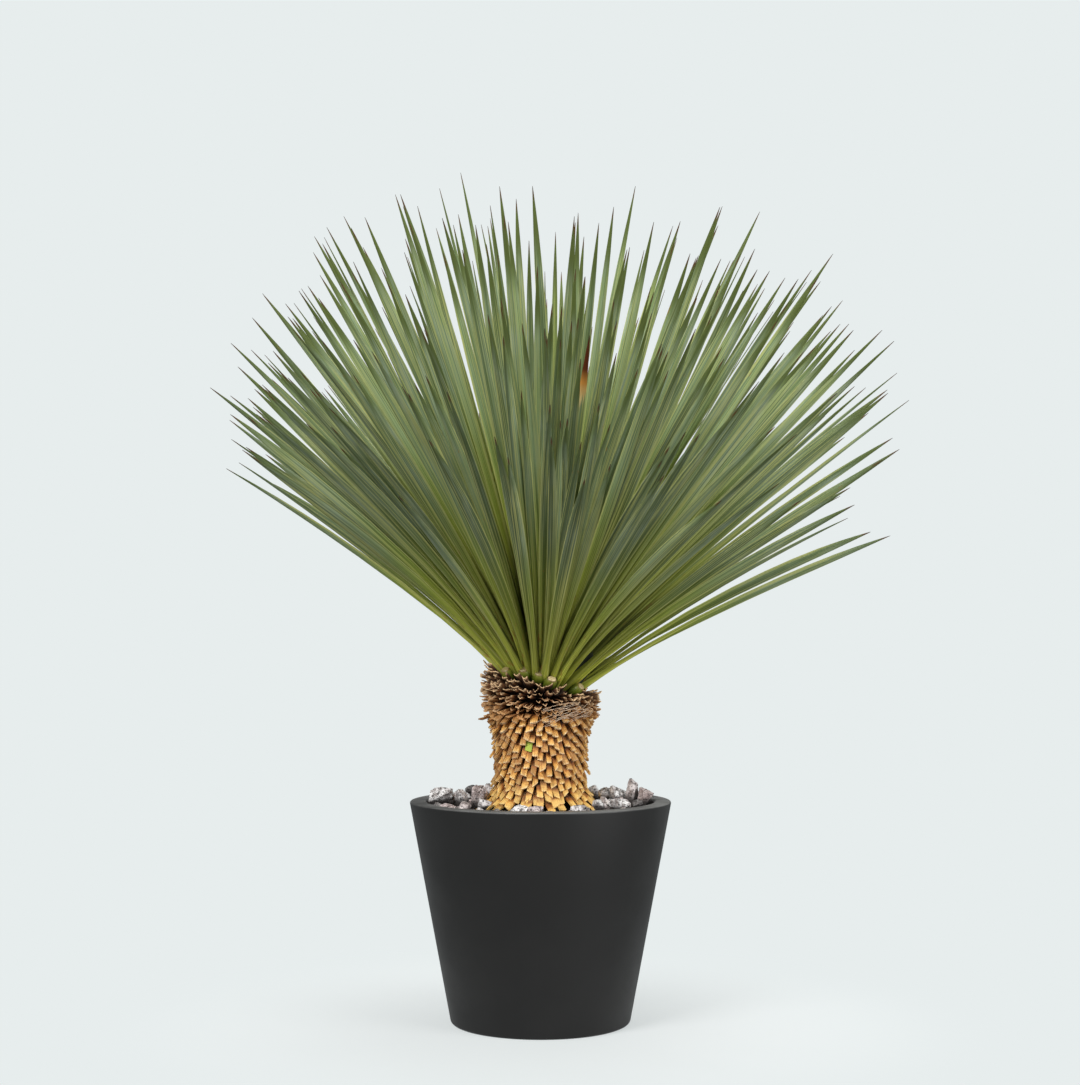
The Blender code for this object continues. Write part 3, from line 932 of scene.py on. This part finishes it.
def make_plates():
    draw = random.Random(37)
    copies = []
    low, high = frill_low + 0.002, SEAT_HEIGHT - 0.005
    for n in range(PLATES):
        share = 1 - (n + 0.5) / PLATES
        azimuth = n * GOLDEN_ANGLE + draw.uniform(-0.05, 0.05)
        right = cos(azimuth)
        rise = radians(-14 + 34 * share**1.4 + draw.gauss(0, 6)) - SEAT_TILT * share * right
        root = outward(azimuth) * (FRILL_CORE - 0.004)
        tilt = tan(SEAT_TILT) * share * FRILL_CORE * right
        root.z = low + (high - low) * share - tilt + draw.gauss(0, 0.0006)
        along = outward(azimuth) * cos(rise) + Vector((0, 0, sin(rise)))
        along += sideways(azimuth) * draw.gauss(0, 0.13)
        across = sideways(azimuth) + Vector((0, 0, draw.gauss(0, 0.16)))
        grown = 0.92 + 0.18 * share + 0.1 * share * max(-right, 0)
        size = (
            PLATE_SIZE[0] * draw.uniform(0.8 - 0.14 * share, 1.1) * grown,
            PLATE_SIZE[1] * draw.uniform(0.75, 1.2), PLATE_SIZE[2] * draw.uniform(0.8, 1.4),
        )
        wave = (draw.uniform(0.02, 0.09), draw.uniform(0.7, 1.2), draw.uniform(0, tau))
        shape = bend_strip(
            plate_blank, root, along, across, size, cup=draw.uniform(0.12, 0.34), wave=wave,
            curl=draw.gauss(-0.02, 0.06), skew=draw.gauss(0, 0.22), taper=draw.uniform(0.25, 0.6),
        )
        copies.append(copy_blank(plate_blank, shape, tone=draw.random(), old=1 - share))
    return join_copies("frill_plates", copies)


def make_dry_brown():
    """Painted near black at the root as shade, umber in the middle, and a pale edge where the plate is
    torn.
    """
    new_material("dry brown")
    along, across = map_place("strip")
    tone, old = read("tone"), read("old")
    lines, patches = fibre(across, along, tone, 16, 1.3)
    edge = rescale(patches, 0.12, along)
    umber = ramp(
        edge, (0.45, 0.012, 0.003, 0.001), (0.74, 0.12, 0.038, 0.009), (0.92, 0.5, 0.21, 0.065),
        (1.02, 1.0, 0.7, 0.4),
    )
    straw = blend(0.85, umber, (0.66, 0.34, 0.11))
    own = paint(
        umber, (straw, fade(old, 0.4, 0.95), fade(along, 0.45, 0.85)), ((0.12, 0.06, 0.028), tone, 0.3)
    )
    lined = blend(fade(lines, 0.6, 0.3), own, (0.38, 0.26, 0.19), "MULTIPLY")
    # painted shade under the crown: the plates by it are darker up to their torn edge
    shaded = paint(lined, ((0.04, 0.017, 0.008), fade(old, 0.5, 0.15), fade(edge, 1.04, 0.96), 0.7))
    return complete(shaded, 0.8, bump(lines, 0.7, 0.0006))


finish_piece(make_frill_core(), shaded_bark, "frill")
finish_piece(make_plates(), make_dry_brown(), "frill", smooth=50)
for blank in (stub_blank, plate_blank):
    bpy.data.objects.remove(blank)

# %% [markdown]
# At the lower right of the frill a wisp of fibres has frayed off. One fibre is a thin four-sided rod,
# bisected so that it can hang in a curve. Each copy starts at the frill and hangs down to the left, close
# over the leaf bases.

# %% Frayed fibres
FIBRES = 24
FIBRE_RADIUS = 0.0003
FIBRE_STRETCHES = 7


def make_rod_blank(sides, radius, stretches):
    """A cylinder that stands on the origin, 1 high, cut across into equal stretches."""
    deselect_all()
    bpy.ops.mesh.primitive_cylinder_add(vertices=sides, radius=radius, depth=1, location=(0, 0, 0.5))
    blank = bpy.context.object
    settle(blank)
    open_for_edit(blank, "EDGE")
    for ring in range(1, stretches):
        cut((0, 0, ring / stretches), (0, 0, 1))
    deselect_all()
    return blank


def make_fibres():
    draw = random.Random(61)
    blank = make_rod_blank(4, FIBRE_RADIUS, FIBRE_STRETCHES)
    copies = []
    for _ in range(FIBRES):
        start = radians(draw.uniform(-66, -28))
        sweep = radians(draw.uniform(14, 40))
        high = draw.uniform(0.418, 0.44)
        fall = draw.uniform(0.003, 0.018)
        swing, phase = draw.uniform(0.0005, 0.0016), draw.uniform(0, tau)
        points = []
        for x, y, share in points_of(blank):
            belly = 0.0035 * sin(pi * share) - 0.003 * share
            radius = 0.079 + belly + swing * sin(6 * share + phase)
            point = outward(start - sweep * share) * (radius + x)
            point.z = high - fall * share**1.5 + swing * cos(7 * share + phase) + y
            points.append(point)
        copies.append(copy_blank(blank, points, tone=draw.random()))
    bpy.data.objects.remove(blank)
    return join_copies("frill_fibres", copies)


def make_fibre_pale():
    """Bleached straw, greyer from one fibre to the next."""
    new_material("fibre pale")
    straw = ramp(clouds(160, 2), (0.35, 0.42, 0.28, 0.17), (0.65, 0.85, 0.68, 0.5))
    return complete(paint(straw, ((0.38, 0.32, 0.3), read("tone"), 0.4)), 0.7)


finish_piece(make_fibres(), make_fibre_pale(), "frill", smooth=60)

# %% [markdown]
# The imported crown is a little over 300 leaves that grow from one heart. Each fine leaf follows the same
# rule as its plain solid, drawn from the same seed, so it lies exactly where its solid lies: the golden
# angle turns every leaf on from the last, the oldest lie lowest, the youngest stand upright, and each is
# an arc that sways a little. On the +X side most of the oldest leaves are missing.

# %% The rule of the leaves
CROWN_LEAN = radians(5.5)
DOME_RADIUS, DOME_RISE, DOME_FOOT = 0.046, 0.076, 0.006
LEAF_COUNT = 340
WIDEST_POLAR = radians(60)
REACH, REACH_CENTRE, HEART_SHARE = 0.69, 0.022, 0.07
ARCH, OLD_ARCH = 3, 9
LEAF_WIDTH = 0.0142
LEAF_SEED = 7
SPARSE_AGE, SPARSE_AZIMUTH, SPARSE_STEP = 0.66, radians(50), 3


def leaf_reach(polar):
    return REACH * (1 - 0.2 * max(polar / radians(30) - 1, 0) ** 2)


def on_sparse_side(number, youngest, half_angle):
    age = 1 - (number + 0.5) / LEAF_COUNT
    azimuth = remainder(number * GOLDEN_ANGLE, tau)
    return age > youngest and abs(azimuth) < half_angle


def has_grown(number):
    """False for most of the older leaves on the +X side, where the crown is sparse."""
    return not on_sparse_side(number, SPARSE_AGE, SPARSE_AZIMUTH) or number % SPARSE_STEP == 0


def leaf_line(number, draw, grown=1.0):
    """Draws a leaf: its centreline as a function of the share along it, side, twist, width, age."""
    age = 1 - (number + 0.5) / LEAF_COUNT
    polar = acos(1 - (1 - cos(WIDEST_POLAR)) * age)
    azimuth = number * GOLDEN_ANGLE + draw.uniform(-0.05, 0.05)
    polar += radians(draw.uniform(-1.5, 1.5))
    heart = max(1 - age / HEART_SHARE, 0)
    reach = leaf_reach(polar) * draw.uniform(0.86, 1) * (1 - 0.3 * min(2 * heart, 1))
    height_angle = sqrt(age) * pi / 2
    root = outward(azimuth) * DOME_RADIUS * sin(height_angle)
    root.z = DOME_RISE * cos(height_angle) + DOME_FOOT
    arch = radians(ARCH + OLD_ARCH * age**2 + draw.uniform(-2.5, 3))
    sway = radians(draw.uniform(-5, 5))
    length = reach * grown - (root - Vector((0, 0, REACH_CENTRE))).length
    root = seat_frame() @ root
    start = polar - arch / 2
    lean = Matrix.Rotation(CROWN_LEAN, 3, "Y")
    away, side = lean @ outward(azimuth), lean @ sideways(azimuth)
    up = away.cross(side)

    def place(share):
        bend = start + arch * share
        run = (cos(start) - cos(bend)) / arch
        climb = (sin(bend) - sin(start)) / arch
        return root + (away * run + up * climb + side * (sway * share**2 / 2)) * length

    twist = radians(draw.uniform(-38, 38))
    width = LEAF_WIDTH * draw.uniform(0.88, 1.08) * (0.8 if heart else 1)
    return place, side, twist, width, length, age


# %% [markdown]
# A leaf of this plant is like a sword: a broad, fleshy base that clasps the heart, a narrow neck, its
# greatest width two thirds of the way up, and a long taper to a needle. Its upper face is a shallow
# channel and its under side a low keel. The blank is a six-sided rod, bisected at the stations where the
# width is known, so one leaf has under a hundred faces.

# %% Leaf blank
STATIONS = (-0.022, 0.03, 0.08, 0.14, 0.25, 0.4, 0.55, 0.66, 0.75, 0.83, 0.9, 0.95, 0.985, 0.9985)
WIDTHS = (1.2, 1.06, 0.84, 0.74, 0.78, 0.9, 0.99, 1.00, 0.94, 0.8, 0.56, 0.33, 0.13, 0.04)
THICKNESSES = (0.0078, 0.0072, 0.0056, 0.004, 0.0026, 0.0018, 0.0014, 0.0012, 0.0011, 0.001,
               0.0009, 0.0008, 0.0007, 0.0005)
CHANNELS = (0.34, 0.34, 0.3, 0.26, 0.22, 0.2, 0.18, 0.17, 0.16, 0.15, 0.13, 0.1, 0.05, 0.0)
ACROSS = np.array((1.0, 0.0, -1.0, -0.55, 0.0, 0.55))
CHANNEL_SHARE = np.array((0.0, 1.0, 0.0, 0.5, 1.0, 0.5))
BODY_SHARE = np.array((0.0, 0.0, 0.0, 0.8, 1.0, 0.8))

corners, stretches = len(ACROSS), len(STATIONS) - 1
leaf_blank = make_rod_blank(corners, 1, stretches)
blank_x, blank_y, blank_z = points_of(leaf_blank).T
ring_of = np.rint(blank_z * stretches).astype(int)
corner_of = np.rint((np.degrees(np.arctan2(blank_y, blank_x)) - 30) / 60).astype(int) % corners
loop_corner = np.array([loop.vertex_index for loop in leaf_blank.data.loops])
blade_u = (ACROSS[corner_of[loop_corner]] + 1) / 2
blade_v = np.clip(np.array(STATIONS), 0, 1)[ring_of[loop_corner]]
blade_map = leaf_blank.data.uv_layers.new(name="blade")
blade_map.data.foreach_set("uv", np.column_stack((blade_u, blade_v)).ravel())
under = np.zeros(len(loop_corner))
for face in leaf_blank.data.polygons:
    if any(corner_of[v] > 2 for v in face.vertices):
        under[list(face.loop_indices)] = 1
print("leaf blank", len(leaf_blank.data.polygons), "faces")

# %% [markdown]
# Every leaf is a copy of the blank whose rings are set across its own line, sized by the station's
# numbers and turned by its twist. The real crown is denser than its plain solid, so these leaves are
# slimmer and more than 150 others stand between them, a little shorter and more twisted. Those on the
# flanks turn their under sides to the front as they grow, and one short leaf at the front has a dead tip.
# All are joined in twelve pieces, from the oldest whorl to the heart. A second UV map gives each leaf two
# long strips of its own, which makes the most of a baked picture.

# %% Leaves
WHORLS = 12
EXTRA_LEAVES = 190
EXTRA_OLDEST, EXTRA_YOUNGEST, EXTRA_BIAS = 44, 284, 1.12
EXTRA_GROWN = 0.955
EXTRA_TWIST = 1.6
EXTRA_GAP_AGE, EXTRA_GAP_AZIMUTH = 0.4, radians(64)
SLIMNESS, SLIM_WITH_AGE = 0.78, 0.17
FLANK_TURN, TURNED_BY = radians(58), 0.42
BAKE_MARGIN = 0.06
BURNT_NUMBER, BURNT_SEED, BURNT_GROWN = 206.2, 1, 0.82


def leaf_points(line):
    place, flat, twist, width, length, age = line
    width *= SLIMNESS + SLIM_WITH_AGE * age
    points = np.empty((len(ring_of), 3))
    for ring, share in enumerate(STATIONS):
        share = max(share, -0.014 / length)
        next_share = min(share + 0.01, 1)
        ahead = (place(next_share) - place(next_share - 0.01)).normalized()
        run = min(max(share, 0) / TURNED_BY, 1)
        turn = twist * max(share, 0) - FLANK_TURN * flat.y * run**2 * (3 - 2 * run)
        side = Matrix.Rotation(turn, 3, ahead) @ flat
        side = (side - ahead * side.dot(ahead)).normalized()
        half = width * WIDTHS[ring] / 2
        depth = CHANNELS[ring] * half * CHANNEL_SHARE + THICKNESSES[ring] * BODY_SHARE
        middle = np.array(place(share))
        section = middle + np.outer(ACROSS * half, side) + np.outer(depth, side.cross(ahead))
        chosen = ring_of == ring
        points[chosen] = section[corner_of[chosen]]
    return points


def add_bake_map(mesh, strip, strips):
    """Lays the upper and the under side of a leaf along two strips of the picture."""
    layer = mesh.uv_layers.new(name="OFBake")
    across = (2 * strip + under + BAKE_MARGIN + (1 - 2 * BAKE_MARGIN) * blade_u) / (2 * strips)
    layer.data.foreach_set("uv", np.column_stack((0.004 + 0.992 * blade_v, across)).ravel())


def make_whorls():
    draw, looks = random.Random(LEAF_SEED), random.Random(71)
    lines = [leaf_line(number, draw) for number in range(LEAF_COUNT)]
    lines = [line for number, line in enumerate(lines) if has_grown(number)]
    extra = random.Random(LEAF_SEED + 1)
    for n in range(EXTRA_LEAVES):
        share = ((n + 0.5) / EXTRA_LEAVES) ** EXTRA_BIAS
        number = EXTRA_OLDEST + (EXTRA_YOUNGEST - EXTRA_OLDEST) * share
        place, flat, twist, *rest = leaf_line(number, extra, EXTRA_GROWN)
        if not on_sparse_side(number, EXTRA_GAP_AGE, EXTRA_GAP_AZIMUTH):
            lines.append((place, flat, twist * EXTRA_TWIST, *rest))
    burnt = leaf_line(BURNT_NUMBER, random.Random(BURNT_SEED), BURNT_GROWN)
    lines.append(burnt)
    lines.sort(key=lambda line: -line[-1])
    whorls = []
    for whorl in range(WHORLS):
        members = lines[len(lines) * whorl // WHORLS:len(lines) * (whorl + 1) // WHORLS]
        copies = []
        for strip, line in enumerate(members):
            age = line[-1]
            youth = max(1 - age / 0.1, 0) * looks.uniform(0.3, 1)
            made = copy_blank(
                leaf_blank, leaf_points(line), tone=looks.random(), wear=looks.random() ** 2,
                youth=youth, depth=1 - age, burn=float(line is burnt),
            )
            add_bake_map(made.data, strip, len(members))
            copies.append(made)
        whorls.append(join_copies(f"leaves_whorl_{whorl + 1:02}", copies))
    return whorls


# %% [markdown]
# The leaf's foot is a yellowish olive, the blade a dull sage green with a bloom of wax on it, and the tip
# a deeper olive that ends in a brown needle. A thin yellow margin runs along both edges, light and dark
# veins run the whole length, and old leaves have rust-coloured flecks. The dead tip goes from cream
# through orange to a dark red-brown. All of this is read from the blade map, so it follows every leaf
# round its bends.

# %% Leaf finish
def make_leaf_green():
    new_material("leaf green")
    fill(tree.nodes["Principled BSDF"], {"Specular IOR Level": 0.2})
    across, along = map_place("blade")
    tone, depth = read("tone"), read("depth")
    lines, patches = fibre(across, along, tone, 11, 1.5)
    # the ramp's dark first stop is painted shade where the leaf's foot goes into the heart
    green = ramp(
        along, (0.0, 0.15, 0.17, 0.012), (0.045, 0.53, 0.56, 0.068), (0.15, 0.47, 0.5, 0.07),
        (0.34, 0.285, 0.34, 0.05), (0.48, 0.268, 0.338, 0.096), (0.62, 0.295, 0.382, 0.19),
        (0.82, 0.215, 0.29, 0.13), (1.0, 0.15, 0.195, 0.055),
    )
    aged = fade(depth, 0.62, 0.15)
    # painted shade: the upper blades of the older, outer leaves are darkened by up to a quarter
    painted_shade_on_old_blades = times(aged, fade(along, 0.36, 0.62))
    bright = times(rescale(tone, 0.64, 0.62), rescale(painted_shade_on_old_blades, -0.24, 1))
    own = add_node("VectorMath", {0: green, "Scale": bright}, operation="SCALE").outputs[0]
    wax = rescale(calculate("FRACT", times(tone, 7.3)), 0.65, 0.25)
    fresh = rescale(aged, -0.45, 1)
    from_middle = calculate("ABSOLUTE", calculate("SUBTRACT", across, 0.5))
    frayed = rescale(across, -0.09, rescale(lines, 0.16, along))
    scorch = ramp(
        along, (0.81, 0.8, 0.62, 0.3), (0.86, 0.62, 0.27, 0.06), (0.9, 0.12, 0.026, 0.008),
        (1.0, 0.07, 0.016, 0.006),
    )
    rust = noise_at(times(across, 3), times(along, 26), times(tone, 93), 4)
    reach = rescale(fade(along, 0.5, 0.05), -0.13, rescale(read("wear"), -0.1, 0.76))
    flecks = add_node("Clamp", {0: times(calculate("SUBTRACT", rust, reach), 12)}).outputs[0]
    shaded = paint(
        own,
        # the bloom of wax, the yellow of a young leaf, light veins and dark veins
        ((0.36, 0.44, 0.35), fade(patches, 0.35, 0.72), fade(along, 0.42, 0.78), wax, fresh),
        ((0.4, 0.48, 0.06), read("youth")),
        ((0.54, 0.53, 0.17), fade(lines, 0.51, 0.62), fade(along, 0.92, 0.78), 0.64),
        ((0.06, 0.09, 0.018), fade(lines, 0.49, 0.37), 0.6),
        # the shade at the foot's edges, and the margin
        ((0.028, 0.04, 0.004), fade(from_middle, 0.22, 0.48), fade(along, 0.34, 0.12), 0.56),
        ((0.6, 0.6, 0.22), fade(from_middle, 0.415, 0.46), fade(along, 0.2, 0.4),
         fade(along, 0.93, 0.78), 0.56),
        # a dull end, a brown end, the dead tip and the needle
        ((0.105, 0.135, 0.035), fade(rescale(aged, -0.055, along), 0.82, 0.92), fresh),
        ((0.1, 0.05, 0.02), fade(rescale(patches, 0.03, along), 0.975, 1)),
        (scorch, fade(frayed, 0.82, 0.85), read("burn")),
        ((0.05, 0.03, 0.018), fade(along, 0.985, 1)),
        # rust-coloured flecks, and the shade deep in the crown
        ((0.36, 0.19, 0.04), flecks, 0.75),
        ((0.018, 0.026, 0.003), fade(depth, 0.1, 0.5), fade(along, 0.34, 0.1), 0.85),
    )
    return complete(shaded, rescale(lines, 0.22, 0.44), bump(lines, 0.5, 0.0004))


leaf_green = make_leaf_green()
for whorl in make_whorls():
    finish_piece(whorl, leaf_green, "leaf_crown", smooth=50)
bpy.data.objects.remove(leaf_blank)

# %% [markdown]
# Between the leaves lies the heart that they grow from, thrown like the stem's core and tilted with the
# seat. It is painted near black, as the shade between the lowest leaves, and shows only there. Five leaves
# at the front were cut off just above the frill: their thick green bases are left, each with a pale, dried
# cut. The blank for these is a small bulb, thrown too, and set down five times.

# %% Heart and cut green bases
HEART_OUTLINE = (
    (0.047, 0.0005), (0.06, 0.024), (0.068, 0.052), (0.062, 0.088), (0.042, 0.114), (0.012, 0.128),
)
CUT_BASES = ((-140, 0.002), (-115, 0.008), (-95, 0.008), (-79, 0.004), (-36, 0.002))
CUT_TILT = radians(48)
CUT_LENGTH = 0.03
CUT_RADIUS = 0.0575
BULB_OUTLINE = (
    (0.006, -0.5), (0.0082, -0.28), (0.0092, -0.02), (0.0092, 0.2), (0.008, 0.36), (0.006, 0.46),
    (0.0042, 0.5), (0.002, 0.485),
)


def make_heart():
    heart = throw("crown_heart", HEART_OUTLINE, 40)
    heart.data.transform(seat_frame())
    return heart


def make_cut_bases():
    draw = random.Random(5)
    bulb = throw("bulb", [(radius, height * CUT_LENGTH) for radius, height in BULB_OUTLINE], 14)
    write_uv(bulb, lambda p: (p.z / CUT_LENGTH + 0.5, atan2(p.y, p.x) / tau + 0.5))
    copies = []
    for azimuth, height in CUT_BASES:
        angle = radians(azimuth)
        tilt = Matrix.Rotation(angle, 4, "Z") @ Matrix.Rotation(CUT_TILT, 4, "Y")
        seat = Matrix.Translation(outward(angle) * CUT_RADIUS + Vector((0, 0, height)))
        matrix = np.array(seat_frame() @ seat @ tilt)
        points = points_of(bulb) * np.array((0.85, draw.uniform(0.9, 1.08), draw.uniform(0.94, 1.0)))
        shape = points @ matrix[:3, :3].T + matrix[:3, 3]
        copies.append(copy_blank(bulb, shape, tone=draw.random()))
    bpy.data.objects.remove(bulb)
    return join_copies("cut_green_bases", copies)


def make_cut_green():
    """Olive green and fleshy, browner near the cut, with the cut itself dried to a pale beige."""
    new_material("cut green")
    along, across = map_place("strip")
    tone = read("tone")
    lines, patches = fibre(across, along, tone, 40, 1.5)
    ragged = rescale(patches, 0.05, along)
    # the ramp's near black foot is painted shade between the leaves
    olive = ramp(
        ragged, (0.35, 0.022, 0.034, 0.002), (0.7, 0.11, 0.15, 0.01), (0.93, 0.2, 0.22, 0.026),
        (0.985, 0.2, 0.12, 0.04), (1.01, 0.64, 0.5, 0.27),
    )
    own = paint(olive, ((0.2, 0.15, 0.045), fade(ragged, 0.98, 1), fade(tone, 0.35, 0.75), 0.75))
    lined = blend(fade(lines, 0.6, 0.3), own, (0.6, 0.6, 0.5), "MULTIPLY")
    return complete(lined, 0.4, bump(lines, 0.4, 0.0005))


# painted shade: the heart is near black, as the shade between the leaves
heart_dark = make_core_dark("heart dark", (90, 700), (0.006, 0.009, 0.002), (0.022, 0.03, 0.006), 0.8, 0.5)
finish_piece(make_heart(), heart_dark, "leaf_crown")
finish_piece(make_cut_bases(), make_cut_green(), "leaf_crown", smooth=55)
